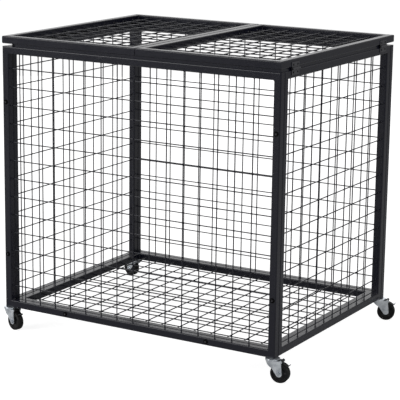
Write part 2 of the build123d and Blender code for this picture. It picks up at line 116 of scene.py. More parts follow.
class Graph:
    """A node material under construction, ended by one Principled shader."""

    def __init__(self, name: str) -> None:
        """Start an empty material.

        Args:
            name: the material's name.
        """
        self.material = bpy.data.materials.new(name)
        self.material.use_nodes = True
        self.tree = self.material.node_tree
        self.tree.nodes.clear()

    def node(self, kind: str, settings: dict, inputs: dict, output: Union[int, str] = 0) -> Signal:
        """Add one node, with its settings first and then its sockets.

        Args:
            kind: the node's type name.
            settings: attribute values, or under "stops" a ramp's (position, level) pairs.
            inputs: socket name or index to a number, a colour, a vector or a Signal.
            output: the output socket to return.

        Returns:
            The output as a Signal.
        """
        node = self.tree.nodes.new(kind)
        for key, value in settings.items():
            if key == "stops":
                self._set_stops(node.color_ramp, value)
            else:
                setattr(node, key, value)
        for key, value in inputs.items():
            if isinstance(value, Signal):
                self.tree.links.new(value.socket, node.inputs[key])
            else:
                node.inputs[key].default_value = value
        return Signal(self, node.outputs[output])

    @staticmethod
    def _set_stops(ramp: bpy.types.ColorRamp, stops: Sequence[tuple[float, float]]) -> None:
        """Give a colour ramp grey stops.

        Args:
            ramp: the ramp of a new node, which has two stops.
            stops: pairs of position and grey level.
        """
        while len(ramp.elements) < len(stops):
            ramp.elements.new(0.5)
        for element, (position, level) in zip(ramp.elements, stops):
            element.position = position
            element.color = (level, level, level, 1.0)

    def place(self, stretch: tuple[float, float, float] = (1.0, 1.0, 1.0)) -> Signal:
        """Return the object's own coordinates, stretched along each axis."""
        point = self.node("ShaderNodeTexCoord", {}, {}, "Object")
        return self.node("ShaderNodeMapping", {}, {"Vector": point, "Scale": stretch})

    def noise(self, point: Signal, scale: float, detail: float = 3.0) -> Signal:
        """Return fractal noise from 0 to 1 with this many cells to a metre."""
        sockets = {"Vector": point, "Scale": scale, "Detail": detail, "Roughness": 0.55}
        return self.node("ShaderNodeTexNoise", {}, sockets, "Fac")

    def ramp(self, value: Signal, stops: Sequence[tuple[float, float]]) -> Signal:
        """Return a value read through grey stops."""
        return self.node("ShaderNodeValToRGB", {"stops": stops}, {"Fac": value}, "Color")

    def blend(self, share: Number, first: Union[Colour, Signal], second: Union[Colour, Signal]) -> Signal:
        """Return a colour between two.

        Args:
            share: 0 for the first colour and 1 for the second.
            first: a colour or a colour signal.
            second: a colour or a colour signal.

        Returns:
            The mixed colour.
        """
        ends = [c if isinstance(c, Signal) else (*c, 1.0) for c in (first, second)]
        sockets = {"Factor": share, 6: ends[0], 7: ends[1]}
        return self.node("ShaderNodeMix", {"data_type": "RGBA"}, sockets, 2)

    def bump(self, height: Signal, depth: float, strength: float) -> Signal:
        """Return a normal bent by a height, with the depth of a full step in metres."""
        sockets = {"Height": height, "Distance": depth, "Strength": strength}
        return self.node("ShaderNodeBump", {}, sockets)

    def finish(self, sockets: dict) -> bpy.types.Material:
        """Add the Principled shader and the output.

        Args:
            sockets: the shader's socket names and what goes in them.

        Returns:
            The finished material.
        """
        shader = self.node("ShaderNodeBsdfPrincipled", {}, sockets)
        self.node_output(shader)
        return self.material

    def node_output(self, shader: Signal) -> None:
        """Link a shader to a material output."""
        node = self.tree.nodes.new("ShaderNodeOutputMaterial")
        self.tree.links.new(shader.socket, node.inputs["Surface"])


@dataclass(frozen=True)
class PowderCoat:
    """Satin powder coat over steel: a fine orange peel, faint patches and rubbed spots.

    Fields are colours in linear light and cells to a metre.
    """

    name: str = "black_powder_coat"
    colour: Colour = (0.0028, 0.0032, 0.0095)
    patch: Colour = (0.0048, 0.0053, 0.0125)
    rubbed: Colour = (0.026, 0.027, 0.034)
    roughness: float = 0.26
    index: float = 1.46
    peel_cells: float = 700.0
    peel_depth: float = 0.12 * MILLIMETRE
    patch_cells: float = 7.0
    rub_cells: float = 38.0
    rub_share: float = 0.35

    def material(self) -> bpy.types.Material:
        """Build the coat's nodes.

        Returns:
            The material.
        """
        graph = Graph(self.name)
        point = graph.place()
        patches = graph.noise(point, self.patch_cells, 4.0)
        rub = graph.ramp(graph.noise(point, self.rub_cells, 6.0), [(0.66, 0.0), (0.76, 1.0)])
        peel = graph.noise(point, self.peel_cells, 2.0)
        body = graph.blend(patches, self.colour, self.patch)
        colour = graph.blend(rub * self.rub_share, body, self.rubbed)
        rough = self.roughness + (patches - 0.5) * 0.14 + rub * 0.16 + (peel - 0.5) * 0.05
        normal = graph.bump(peel, self.peel_depth, 0.3)
        return graph.finish({"Base Color": colour, "Roughness": rough, "Normal": normal, "IOR": self.index})


@dataclass(frozen=True)
class ZincPlate:
    """Bright bluish zinc plate with fine drawing lines, and dark clouds that are partly dull plating and
    partly a painted reflection of a dark studio.
    """

    name: str = "zinc_plate"
    colour: Colour = (0.90, 0.945, 0.99)
    # The cloud colour is dark partly for dull plating and partly as a painted reflection of a dark studio.
    cloud: Colour = (0.50, 0.54, 0.59)
    metal: float = 0.88
    roughness: float = 0.17
    cloud_cells: float = 60.0
    line_cells: float = 420.0
    line_depth: float = 0.04 * MILLIMETRE

    def material(self) -> bpy.types.Material:
        """Build the plate's nodes.

        Returns:
            The material.
        """
        graph = Graph(self.name)
        dull_and_dark_reflection_clouds = graph.noise(graph.place(), self.cloud_cells, 4.0)
        lines = graph.noise(graph.place((1.0, 1.0, 0.12)), self.line_cells, 2.0)
        # Painted reflection: the dark clouds stand in for dark studio reflections as well as for dull
        # plating.
        colour = graph.blend(graph.ramp(dull_and_dark_reflection_clouds, [(0.42, 0.0), (0.68, 1.0)]), self.colour, self.cloud)
        rough = self.roughness + (dull_and_dark_reflection_clouds - 0.5) * 0.18 + (lines - 0.5) * 0.08
        normal = graph.bump(lines, self.line_depth, 0.25)
        metal = self.metal + (dull_and_dark_reflection_clouds - 0.5) * 0.1
        sockets = {"Base Color": colour, "Metallic": metal, "Roughness": rough, "Normal": normal}
        return graph.finish(sockets)


@dataclass(frozen=True)
class DarkSteel:
    """Blackened steel, with bare metal in small rubs and where the attribute "wear" is high."""

    name: str = "blackened_steel"
    colour: Colour = (0.045, 0.046, 0.052)
    bare: Colour = (0.20, 0.20, 0.22)
    roughness: float = 0.42
    index: float = 1.45
    rub_cells: float = 240.0
    rub_share: float = 0.3
    grain_depth: float = 0.05 * MILLIMETRE

    def material(self) -> bpy.types.Material:
        """Build the steel's nodes.

        Returns:
            The material.
        """
        graph = Graph(self.name)
        noise = graph.noise(graph.place(), self.rub_cells, 5.0)
        worn = graph.node("ShaderNodeAttribute", {"attribute_name": "wear"}, {}, "Fac")
        rub = graph.ramp(noise, [(0.6, 0.0), (0.74, 1.0)]) * self.rub_share
        share = rub + worn * (noise * 0.6 + 0.6) * (1.0 - rub)
        colour = graph.blend(share, self.colour, self.bare)
        rough = self.roughness + (noise - 0.5) * 0.2
        normal = graph.bump(noise, self.grain_depth, 0.3)
        sockets = {"Base Color": colour, "Metallic": share * 0.5, "Roughness": rough, "Normal": normal}
        return graph.finish(sockets | {"IOR": self.index})


@dataclass(frozen=True)
class TyreRubber:
    """Black wheel rubber that is dusty and rougher where the attribute "wear" is high."""

    name: str = "wheel_rubber"
    colour: Colour = (0.004, 0.004, 0.0045)
    dust: Colour = (0.03, 0.029, 0.027)
    roughness: float = 0.42
    index: float = 1.36
    grain_cells: float = 900.0
    grain_depth: float = 0.08 * MILLIMETRE
    dust_cells: float = 130.0

    def material(self) -> bpy.types.Material:
        """Build the rubber's nodes.

        Returns:
            The material.
        """
        graph = Graph(self.name)
        point = graph.place()
        worn = graph.node("ShaderNodeAttribute", {"attribute_name": "wear"}, {}, "Fac")
        cloud = graph.ramp(graph.noise(point, self.dust_cells, 5.0), [(0.35, 0.0), (0.75, 1.0)])
        grain = graph.noise(point, self.grain_cells, 2.0)
        share = worn * cloud
        colour = graph.blend(share * 0.7, self.colour, self.dust)
        rough = self.roughness + worn * 0.2 + (grain - 0.5) * 0.12
        normal = graph.bump(grain, self.grain_depth, 0.35)
        return graph.finish({"Base Color": colour, "Roughness": rough, "Normal": normal, "IOR": self.index})


@dataclass(frozen=True)
class MouldedPlastic:
    """Black moulded plastic with a spark-eroded grain, shinier where "wear" is high."""

    name: str = "pedal_plastic"
    colour: Colour = (0.005, 0.005, 0.006)
    scuff: Colour = (0.06, 0.06, 0.062)
    roughness: float = 0.45
    index: float = 1.38
    grain_cells: float = 1400.0
    grain_depth: float = 0.05 * MILLIMETRE
    scuff_cells: float = 260.0

    def material(self) -> bpy.types.Material:
        """Build the plastic's nodes.

        Returns:
            The material.
        """
        graph = Graph(self.name)
        point = graph.place()
        worn = graph.node("ShaderNodeAttribute", {"attribute_name": "wear"}, {}, "Fac")
        scuffs = graph.ramp(graph.noise(point, self.scuff_cells, 6.0), [(0.5, 0.0), (0.7, 1.0)])
        grain = graph.noise(point, self.grain_cells, 2.0)
        colour = graph.blend(worn * scuffs * 0.5, self.colour, self.scuff)
        rough = self.roughness - worn * 0.12 + (grain - 0.5) * 0.1
        normal = graph.bump(grain, self.grain_depth, 0.4)
        return graph.finish({"Base Color": colour, "Roughness": rough, "Normal": normal, "IOR": self.index})


@dataclass(frozen=True)
class StudioFloor:
    """Plain pale floor that the camera sees as white where nothing shades it."""

    name: str = "studio_floor"
    colour: Colour = (0.60, 0.60, 0.60)
    mottle: Colour = (0.58, 0.58, 0.58)
    mottle_cells: float = 1.5
    lift: float = 0.80

    def material(self) -> bpy.types.Material:
        """Build the floor's nodes.

        Returns:
            The material.
        """
        graph = Graph(self.name)
        cloud = graph.noise(graph.place(), self.mottle_cells, 2.0)
        colour = graph.blend(cloud, self.colour, self.mottle)
        seen = graph.node("ShaderNodeLightPath", {}, {}, "Is Camera Ray")
        paper = graph.node("ShaderNodeBsdfDiffuse", {}, {"Color": colour})
        glow = graph.node("ShaderNodeEmission", {}, {"Strength": seen * self.lift})
        graph.node_output(graph.node("ShaderNodeAddShader", {}, {0: paper, 1: glow}))
        return graph.material


class Finish(Enum):
    """The finishes of the cage's pieces."""

    COAT = PowderCoat()
    ZINC = ZincPlate()
    STEEL = DarkSteel()
    BOLT = DarkSteel(
        name="black_bolt_steel",
        colour=(0.0012, 0.0012, 0.0018),
        bare=(0.10, 0.10, 0.11),
        roughness=0.6,
        index=1.16,
    )
    RUBBER = TyreRubber()
    PLASTIC = MouldedPlastic()


class Slot(Enum):
    """The record's material slots."""

    COAT = "black_powder_coat"
    ZINC = "zinc_plate"
    STEEL = "dark_hinge_steel"
    RUBBER = "black_wheel_rubber"
    PLASTIC = "black_pedal_plastic"


class Paint:
    """Makes each finish's material once and gives it to pieces."""

    def __init__(self) -> None:
        """Start with no material made."""
        self.made: dict[Finish, bpy.types.Material] = {}

    def material(self, finish: Finish) -> bpy.types.Material:
        """Make a finish's material at its first use.

        Args:
            finish: the finish.

        Returns:
            Its material.
        """
        if finish not in self.made:
            self.made[finish] = finish.value.material()
        return self.made[finish]

    def on(self, piece: bpy.types.Object, finish: Finish) -> None:
        """Give a piece one finish all over.

        Args:
            piece: the object to dress.
            finish: what it is finished in.
        """
        piece.data.materials.clear()
        piece.data.materials.append(self.material(finish))

    def on_node(self, node: str, finish: Finish) -> None:
        """Give a carried-over solid one finish.

        Args:
            node: the solid's node name.
            finish: what it is finished in.
        """
        piece = frame["nodes"][node]
        material = self.material(finish)
        for place in piece.material_slots:
            place.material = material
        if not piece.material_slots:
            piece.data.materials.append(material)


class Skin:
    """Gathers grids of points into one mesh."""

    def __init__(self) -> None:
        """Start with no surface."""
        self.points: list[Array] = []
        self.faces: list[Array] = []
        self.wear: list[Array] = []
        self.count = 0

    def add(self, grids: Array, wear: Union[float, Array] = 0.0) -> None:
        """Add copies of a surface that closes round its last index.

        Args:
            grids: points as copies, rings, places round a ring, and X, Y, Z.
            wear: the attribute "wear", one number or one for each point.
        """
        grids = np.asarray(grids, float)
        if grids.ndim == 3:
            grids = grids[None]
        copies, rings, sides, _ = grids.shape
        index = np.arange(copies * rings * sides).reshape(copies, rings, sides) + self.count
        ahead = np.roll(index, -1, axis=2)
        corners = [index[:, :-1], ahead[:, :-1], ahead[:, 1:], index[:, 1:]]
        self.faces.append(np.stack(corners, -1).reshape(-1, 4))
        self.points.append(grids.reshape(-1, 3))
        self.wear.append(np.broadcast_to(wear, grids.shape[:3]).reshape(-1))
        self.count += index.size

    def piece(self, name: str, sharp_deg: float = SHARP_DEG) -> bpy.types.Object:
        """Make the object, with poles merged and faces turned outwards.

        Args:
            name: the object's name.
            sharp_deg: edges that turn by more than this stay sharp.

        Returns:
            The object, at the origin.
        """
        mesh = bpy.data.meshes.new(name)
        mesh.from_pydata(np.concatenate(self.points), [], np.concatenate(self.faces).tolist())
        wear = mesh.attributes.new("wear", "FLOAT", "POINT")
        wear.data.foreach_set("value", np.concatenate(self.wear).astype(np.float32))
        settle(mesh)
        return new_object(name, mesh, sharp_deg)


def settle(mesh: bpy.types.Mesh) -> None:
    """Merge points that coincide, drop flat faces and turn the rest outwards.

    Args:
        mesh: the mesh to mend.
    """
    work = bmesh.new()
    work.from_mesh(mesh)
    bmesh.ops.remove_doubles(work, verts=work.verts, dist=MERGE_DISTANCE)
    bmesh.ops.dissolve_degenerate(work, edges=work.edges, dist=MERGE_DISTANCE)
    bmesh.ops.recalc_face_normals(work, faces=work.faces)
    work.to_mesh(mesh)
    work.free()


def new_object(name: str, mesh: bpy.types.Mesh, sharp_deg: float) -> bpy.types.Object:
    """Put a mesh in the scene, smooth but for its sharp edges.

    Args:
        name: the object's name.
        mesh: its mesh.
        sharp_deg: edges that turn by more than this stay sharp.

    Returns:
        The object.
    """
    mesh.polygons.foreach_set("use_smooth", [True] * len(mesh.polygons))
    mesh.set_sharp_from_angle(angle=math.radians(sharp_deg))
    piece = bpy.data.objects.new(name, mesh)
    bpy.context.scene.collection.objects.link(piece)
    return piece


def softened(node: str, name: str, radius: float) -> bpy.types.Object:
    """Copy a solid, merge its triangles into flats and round its edges.

    Args:
        node: the solid's node name.
        name: the copy's name.
        radius: how wide the rounding is.

    Returns:
        The copy, which stands for the node.
    """
    mesh = frame["nodes"][node].data.copy()
    mesh.name = name
    work = bmesh.new()
    work.from_mesh(mesh)
    bmesh.ops.remove_doubles(work, verts=work.verts, dist=SOLID_MERGE_DISTANCE)
    limit = math.radians(FLAT_DEG)
    bmesh.ops.dissolve_limit(work, angle_limit=limit, verts=work.verts, edges=work.edges)
    work.to_mesh(mesh)
    work.free()
    piece = new_object(name, mesh, SHARP_DEG)
    bevel = piece.modifiers.new("rounding", "BEVEL")
    bevel.width = radius
    bevel.segments = 2
    bevel.limit_method = "ANGLE"
    bevel.angle_limit = math.radians(ROUNDED_DEG)
    bevel.use_clamp_overlap = True
    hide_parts(node)
    return piece


def turned(
    profile: Sequence[tuple[float, float]],
    sides: int,
    centre: Array,
    axis: Array,
    factor: Union[float, Array] = 1.0,
) -> Array:
    """Turn a profile about an axis: point = centre + along axis + radius round it.

    Args:
        profile: pairs of distance along the axis and radius.
        sides: places round each ring.
        centre: a point on the axis, or one for each copy.
        axis: the unit direction of the axis.
        factor: multiplies the radii, as one number or for each ring and side.

    Returns:
        Points as copies, rings, sides and X, Y, Z.
    """
    along, radius = np.asarray(profile, float).T
    first, second = round_axes(axis)
    turn = np.arange(sides) * 2 * math.pi / sides
    spoke = np.cos(turn)[:, None] * first + np.sin(turn)[:, None] * second
    reach = radius[:, None] * np.broadcast_to(factor, (len(radius), sides))
    shape = along[:, None, None] * np.asarray(axis) + reach[..., None] * spoke[None]
    return np.atleast_2d(centre)[:, None, None, :] + shape[None]


def round_axes(axis: Array) -> tuple[Array, Array]:
    """Return two unit directions that stand square to an axis and to each other.

    Args:
        axis: the axis's direction.

    Returns:
        The two directions.
    """
    axis = np.asarray(axis, float)
    helper = np.eye(3)[int(np.argmin(np.abs(axis)))]
    first = np.cross(axis, helper)
    first /= np.linalg.norm(first)
    return first, np.cross(axis, first)


def carried(section: Array, path: Array, side: Array, rise: Array) -> Array:
    """Carry a section along a path: point = path + across * side + up * rise.

    Args:
        section: pairs across and up, for each station and place round the section.
        path: the points of the path.
        side: the unit direction across the path.
        rise: the unit direction up from the path, at each station.

    Returns:
        Points as stations, places round the section and X, Y, Z, with closed ends.
    """
    across, up = section[..., 0:1], section[..., 1:2]
    shape = path[:, None] + across * np.asarray(side) + up * rise[:, None]
    ends = [shape[:1].mean(axis=1, keepdims=True), shape[-1:].mean(axis=1, keepdims=True)]
    ends = [np.broadcast_to(end, shape[:1].shape) for end in ends]
    return np.concatenate([ends[0], shape, ends[1]])


def rounded_section(width: Array, height: Array, places: int = 20) -> Array:
    """Rounded rectangles: a superellipse, |x/a|^5 + |y/b|^5 = 1, at each station.

    Args:
        width: full width at each station.
        height: full height at each station.
        places: points round the section.

    Returns:
        Pairs across and up, as stations, places and 2.
    """
    turn = (np.arange(places) + 0.5) * 2 * math.pi / places
    cosine, sine = np.cos(turn), np.sin(turn)
    reach = (np.abs(cosine) ** 5 + np.abs(sine) ** 5) ** (-1 / 5)
    across = np.outer(np.asarray(width) / 2, cosine * reach)
    up = np.outer(np.asarray(height) / 2, sine * reach)
    return np.stack([across, up], -1)


class Panel(Enum):
    """The welded panels: name in node names, body, and directions along, up and out."""

    FRONT = ("front", "cage", (1, 0, 0), (0, 0, 1), (0, -1, 0))
    BACK = ("back", "cage", (-1, 0, 0), (0, 0, 1), (0, 1, 0))
    RIGHT = ("right", "cage", (0, 1, 0), (0, 0, 1), (1, 0, 0))
    LEFT = ("left", "cage", (0, -1, 0), (0, 0, 1), (-1, 0, 0))
    FLOOR = ("floor", "cage", (1, 0, 0), (0, 1, 0), (0, 0, 1))
    LEFT_LID = ("left_lid", "left_lid", (1, 0, 0), (0, 1, 0), (0, 0, 1))
    RIGHT_LID = ("right_lid", "right_lid", (1, 0, 0), (0, 1, 0), (0, 0, 1))

    @property
    def label(self) -> str:
        """The panel's name in node names."""
        return self.value[0]

    @property
    def body(self) -> str:
        """The body that the panel is part of."""
        return self.value[1]


@dataclass(frozen=True)
class WeldedPanel:
    """A tube frame with its mesh of round wires, spot-welded where they cross."""

    panel: Panel
    paint: Paint
    shift: float = 0.0
    tube: float = 20 * MILLIMETRE
    pitch: float = 50 * MILLIMETRE
    least_margin: float = 28 * MILLIMETRE
    wire_radius: float = 1.5 * MILLIMETRE
    nugget_radius: float = 2.3 * MILLIMETRE
    nugget_height: float = 1.5 * MILLIMETRE
    nugget_sides: int = 8
    end_weld_radius: float = 2.9 * MILLIMETRE
    end_weld_length: float = 3.2 * MILLIMETRE
    bead_radius: float = 2.7 * MILLIMETRE
    bead_ripple: float = 2.4 * MILLIMETRE
    bead_swell: float = 0.16
    bead_half_share: float = 0.42
    bead_rings: int = 29
    bead_sides: int = 8
    wire_sides: int = 12

    def directions(self) -> Array:
        """Return the panel's three directions as rows."""
        return np.array(self.panel.value[2:], float)

    def outline(self) -> tuple[Array, float, float]:
        """Measure the frame on its solid.

        Returns:
            Its middle, width and height.
        """
        low, high = (np.array(corner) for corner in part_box(f"{self.panel.label}_frame"))
        extent = np.abs(self.directions() @ (high - low))
        return (low + high) / 2, float(extent[0]), float(extent[1])

    def places(self, opening: float) -> Array:
        """Space wires by the pitch about an opening's middle.

        Args:
            opening: the width between the tubes.

        Returns:
            The wires' distances from the middle.
        """
        rounding_guard = 1e-6
        gaps = math.floor((opening - 2 * self.least_margin) / self.pitch + rounding_guard)
        return (np.arange(gaps + 1) - gaps / 2) * self.pitch

    def build(self) -> None:
        """Make the wires and the weld beads, and dress the frame's solid."""
        self.paint.on_node(f"{self.panel.label}_frame", Finish.COAT)
        for skin, name in ((self.wires(), "wires"), (self.beads(), "weld_beads")):
            piece = skin.piece(f"{self.panel.label}_{name}")
            self.paint.on(piece, Finish.COAT)
            if name == "wires":
                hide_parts(f"{self.panel.label}_mesh")
            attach(piece, self.panel.body)
            LOG.info("%s: %d faces", piece.name, len(piece.data.polygons))

    def wires(self) -> Skin:
        """Straight round wires in two layers, with nuggets between them and end welds.

        Returns:
            The mesh's skin.
        """
        middle, width, height = self.outline()
        along, up, out = self.directions()
        skin = Skin()
        xs = self.places(width - 2 * self.tube) + self.shift
        ys = self.places(height - 2 * self.tube)
        radius = self.wire_radius
        for places, side, run, span, layer in (
            (xs, along, up, height, radius),
            (ys, up, along, width, -radius),
        ):
            half = span / 2 - self.tube
            rod = [(-half, 0), (-half, radius), (half, radius), (half, 0)]
            centres = middle + places[:, None] * side + layer * out
            skin.add(turned(rod, self.wire_sides, centres, run))
            for end in (-1, 1):
                collar = self.end_weld(radius)
                skin.add(turned(collar, self.wire_sides, centres + end * half * run, -end * run))
        crossings = xs[:, None, None] * along + ys[None, :, None] * up
        skin.add(turned(self.nugget(), self.nugget_sides, middle + crossings.reshape(-1, 3), out))
        return skin

    def end_weld(self, radius: float) -> list[tuple[float, float]]:
        """Profile of the fillet of weld round a wire's end, from the tube inwards."""
        wide, long = self.end_weld_radius, self.end_weld_length
        return [(0, 0), (0, wide), (0.2 * long, 0.85 * wide), (0.55 * long, 1.2 * radius), (long, 0)]

    def nugget(self) -> list[tuple[float, float]]:
        """Profile of a spot weld between two wires, a flat ellipsoid."""
        turn = np.linspace(-math.pi / 2, math.pi / 2, 5)
        return list(zip(self.nugget_height * np.sin(turn), self.nugget_radius * np.cos(turn)))

    def beads(self) -> Skin:
        """Rippled weld beads in the frame's four inner corners.

        Each bead's radius is r * (1 + swell * sin(2 pi s / ripple)) * sqrt(1 - (s / half)^6).

        Returns:
            The beads' skin.
        """
        middle, width, height = self.outline()
        along, up, out = self.directions()
        skin = Skin()
        half = self.bead_half_share * self.tube
        run = np.linspace(-half, half, self.bead_rings)
        swell = 1 + self.bead_swell * np.sin(2 * math.pi * run / self.bead_ripple)
        fade = np.sqrt(np.clip(1 - (run / half) ** 6, 0, 1))
        profile = np.stack([run, self.bead_radius * swell * fade], -1)
        reach = np.array([width / 2 - self.tube, height / 2 - self.tube])
        for sign_x, sign_y in ((-1, -1), (1, -1), (1, 1), (-1, 1)):
            corner = middle + sign_x * reach[0] * along + sign_y * reach[1] * up
            skin.add(turned(profile, self.bead_sides, corner, out))
        return skin


@dataclass(frozen=True)
class SocketBolts:
    """Button-headed bolts with a hexagon socket, through the front and back walls."""

    node: str
    name: str
    spots: tuple[tuple[float, float], ...]
    paint: Paint
    face_y: float
    head_radius: float = 6.5 * MILLIMETRE
    head_height: float = 3.5 * MILLIMETRE
    socket_radius: float = 2.5 * MILLIMETRE
    socket_depth: float = 1.6 * MILLIMETRE
    shank_radius: float = 3 * MILLIMETRE
    shank_length: float = 32 * MILLIMETRE
    rim_height: float = 0.2 * MILLIMETRE
    dome_top_deg: float = 58.0
    dome_foot_deg: float = 8.0
    sides: int = 24

    def build(self) -> None:
        """Make the bolts at their spots on both walls."""
        skin = Skin()
        for outward in (-1, 1):
            centres = np.array([(x, outward * self.face_y, z) for x, z in self.spots])
            axis = np.array([0.0, outward, 0.0])
            grids = turned(self.profile(), self.sides, centres, axis, self.hexagon())
            skin.add(grids, self.key_wear()[None, :, None])
        piece = skin.piece(self.name, FINE_SHARP_DEG)
        self.paint.on(piece, Finish.BOLT)
        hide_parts(self.node)
        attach(piece, "cage")
        LOG.info("%s: %d bolts", piece.name, 2 * len(self.spots))

    def profile(self) -> list[tuple[float, float]]:
        """Work out the bolt's profile.

        Returns:
            Distances and radii, from the socket's floor over the domed head to the shank's tip.
        """
        top, rim = self.head_height, self.head_radius
        floor = top - self.socket_depth
        turn = np.radians(np.linspace(self.dome_top_deg, self.dome_foot_deg, 6))
        dome = list(zip(top * np.sin(turn) / math.sin(turn[0]), rim * np.cos(turn) / math.cos(turn[-1])))
        tip = self.shank_length
        shank = [(0, rim), (0, self.shank_radius), (-tip, self.shank_radius), (-tip, 0)]
        hexagon = [(floor, 0), (floor, self.socket_radius), (top, self.socket_radius)]
        return hexagon + [(top, 1.25 * self.socket_radius)] + dome + [(self.rim_height, rim)] + shank

    def key_wear(self) -> Array:
        """Return the attribute "wear" of each ring, high where a key rubs the socket."""
        wear = np.zeros(len(self.profile()))
        wear[:3] = (1.0, 1.0, 0.6)
        return wear

    def hexagon(self) -> Array:
        """Factors that pull the socket's two rings out to a hexagon.

        A hexagon's reach is its flat's distance divided by the cosine of the angle from
        the middle of the nearest flat.

        Returns:
            A factor for each ring and side.
        """
        turn = np.arange(self.sides) * 2 * math.pi / self.sides
        sixth = math.pi / 3
        reach = 1 / np.cos((turn + sixth / 2) % sixth - sixth / 2)
        factors = np.ones((len(self.profile()), self.sides))
        factors[1:3] = reach
        return factors


@dataclass(frozen=True)
class LidHinges:
    """The two butt hinges of one lid: rounded leaves, their pins and their screws."""

    side: str
    paint: Paint
    leaf_length: float = 38 * MILLIMETRE
    leaf_thickness: float = 1.5 * MILLIMETRE
    knuckle_radius: float = 2.75 * MILLIMETRE
    screw_spread: float = 11 * MILLIMETRE
    head_radius: float = 2.9 * MILLIMETRE
    head_height: float = 0.9 * MILLIMETRE
    head_sink: float = 0.2 * MILLIMETRE
    head_rings: int = 10
    head_sides: int = 32
    cross_width: float = 0.8 * MILLIMETRE
    cross_depth: float = 0.6 * MILLIMETRE
    cross_reach: float = 0.62
    rounding: float = 0.3 * MILLIMETRE

    def build(self) -> None:
        """Make the leaves and screws of this side, and finish its pins."""
        for part, body in (("wall", "cage"), ("lid", f"{self.side}_lid")):
            node = f"{self.side}_hinge_{part}_leaves"
            leaves = softened(node, f"{self.side}_{part}_leaves", self.rounding)
            self.dress(leaves, Finish.STEEL, body)
            self.dress(self.screws(node, part), Finish.BOLT, body)
        self.paint.on_node(f"{self.side}_hinge_pins", Finish.STEEL)

    def dress(self, piece: bpy.types.Object, finish: Finish, body: str) -> None:
        """Finish a piece of the hinges' slot and let it ride on a body.

        Args:
            piece: the object to dress.
            finish: what it is finished in.
            body: the body that it moves with.
        """
        self.paint.on(piece, finish)
        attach(piece, body)
        LOG.info("%s rides on %s", piece.name, body)

    def screws(self, node: str, part: str) -> bpy.types.Object:
        """Cross-recessed screw heads on the outside of a leaf, two to a leaf.

        A head's height is h * (1 - (r / R)^2), less the recess where a point is nearer
        to either arm of the cross than half its width.

        Args:
            node: the leaves' node.
            part: "wall" or "lid".

        Returns:
            The screws as one object.
        """
        low, high = (np.array(corner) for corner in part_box(node))
        outward = -1.0 if self.side == "left" else 1.0
        face = (high[0] if outward < 0 else low[0]) + outward * self.leaf_thickness
        barrel = 2 * self.knuckle_radius
        level = (low[2] + high[2] + (-barrel if part == "wall" else barrel)) / 2
        middle = high[1] - self.leaf_length / 2
        ys = [end * middle + spread for end in (-1, 1) for spread in (-self.screw_spread, self.screw_spread)]
        centres = np.array([(face, y, level) for y in ys])
        skin = Skin()
        skin.add(centres[:, None, None] + self.head(outward)[None])
        return skin.piece(f"{self.side}_{part}_screws", FINE_SHARP_DEG)

    def head(self, outward: float) -> Array:
        """Shape one head, with its back sunk in the leaf.

        Args:
            outward: which way it faces along X, 1 or -1.

        Returns:
            Points as rings, sides and X, Y, Z.
        """
        rings = np.linspace(0, 1, self.head_rings)[:, None] * self.head_radius
        turn = np.arange(self.head_sides) * 2 * math.pi / self.head_sides
        y, z = rings * np.cos(turn), rings * np.sin(turn)
        height = self.head_height * (1 - (rings / self.head_radius) ** 2) + 0 * turn
        in_arm = np.minimum(np.abs(y), np.abs(z)) < self.cross_width / 2
        height = height - self.cross_depth * (in_arm & (rings < self.cross_reach * self.head_radius))
        top = np.stack([outward * height, y, z], -1)
        back = np.stack([np.full_like(y[:1], -outward * self.head_sink), 0 * y[:1], 0 * z[:1]], -1)
        return np.concatenate([top, back])


